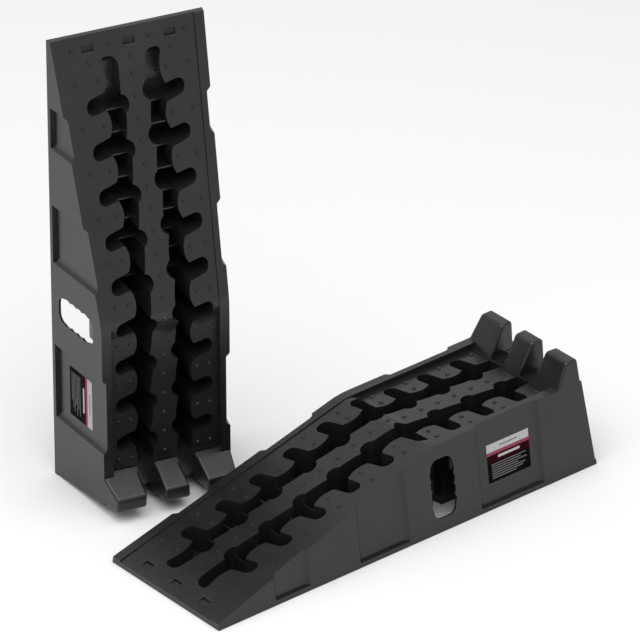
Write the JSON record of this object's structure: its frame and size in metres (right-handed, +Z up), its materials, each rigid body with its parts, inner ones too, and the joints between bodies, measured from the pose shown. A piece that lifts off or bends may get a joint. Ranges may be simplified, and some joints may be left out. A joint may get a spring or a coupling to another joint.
{
  "type": "leveling ramp set",
  "caption": "Hollow moulded drive-on wheel ramps for leveling a parked trailer, with studded decks, winding channels, hand holes and wheel stops; one lies flat and one stands on end.",
  "frame": {"origin": "bottom centre of the box round the whole set, on the floor that both ramps stand on", "axes": "+X up the slope of the lying ramp, +Y from the lying ramp towards the standing one, +Z up from the floor"},
  "size_m": [0.8974, 0.614, 0.8975],
  "materials": {
    "moulding": "fine-grained black moulded plastic with a soft sheen",
    "label": "printed gloss label, silver header and red stripe on black",
    "grip": "black rubber"
  },
  "bodies": {
    "lying_ramp": {"ramp_one": "moulding", "label_one": "label", "grip_pad_left_one": "grip", "grip_pad_middle_one": "grip", "grip_pad_right_one": "grip"},
    "standing_ramp": {"ramp_two": "moulding", "label_two": "label", "grip_pad_left_two": "grip", "grip_pad_middle_two": "grip", "grip_pad_right_two": "grip"}
  },
  "joints": [
    {"name": "standing_ramp_lift", "type": "slide", "parent": "lying_ramp", "child": "standing_ramp", "axis": [0, 0, 1], "range_m": [0, 0.4]}
  ]
}
